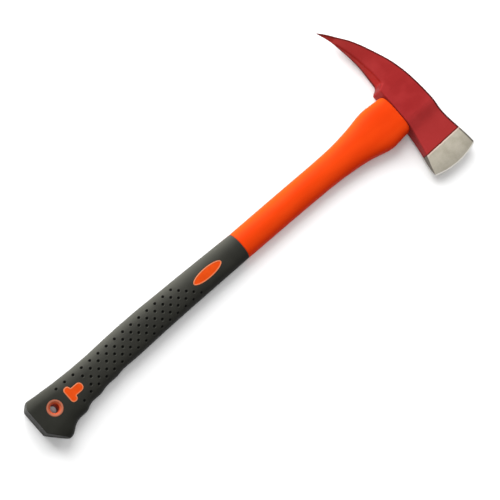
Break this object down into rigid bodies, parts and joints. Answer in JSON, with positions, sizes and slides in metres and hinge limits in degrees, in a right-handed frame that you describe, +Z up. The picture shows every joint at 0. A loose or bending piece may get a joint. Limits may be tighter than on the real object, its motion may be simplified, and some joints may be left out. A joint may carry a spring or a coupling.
{
  "type": "pick-head fire axe",
  "caption": "Fire axe with a steel head that has a curved-edge blade and a long curved pick, an orange plastic handle flared under the head, and a black rubber grip with a hanging hole.",
  "frame": {"origin": "on the surface that the axe lies on, under the middle of its bounding box", "axes": "the axe lies on its side: +X along the handle towards the head, +Y towards the pick's point, +Z up through the thickness"},
  "size_m": [0.6098, 0.2234, 0.028],
  "materials": {
    "head_paint": "satin-gloss red paint, with the bit bare and ground",
    "resin": "cured amber epoxy",
    "seal_rubber": "soft matt",
    "glass_fibre": "pultruded glass fibre in resin",
    "orange_jacket": "satin moulded plastic",
    "grip_rubber": "matt moulded rubber with a fine grain",
    "orange_trim": "satin moulded plastic"
  },
  "bodies": {
    "root": {"axe_head": "head_paint", "eye_resin": "resin", "eye_dam_seal": "seal_rubber", "handle_core": "glass_fibre", "handle_jacket": "orange_jacket", "rubber_grip": "grip_rubber", "hang_hole_bush": "orange_trim", "oval_inlay_front": "orange_trim", "oval_inlay_back": "orange_trim", "t_inlay_front": "orange_trim", "t_inlay_back": "orange_trim"}
  },
  "joints": []
}
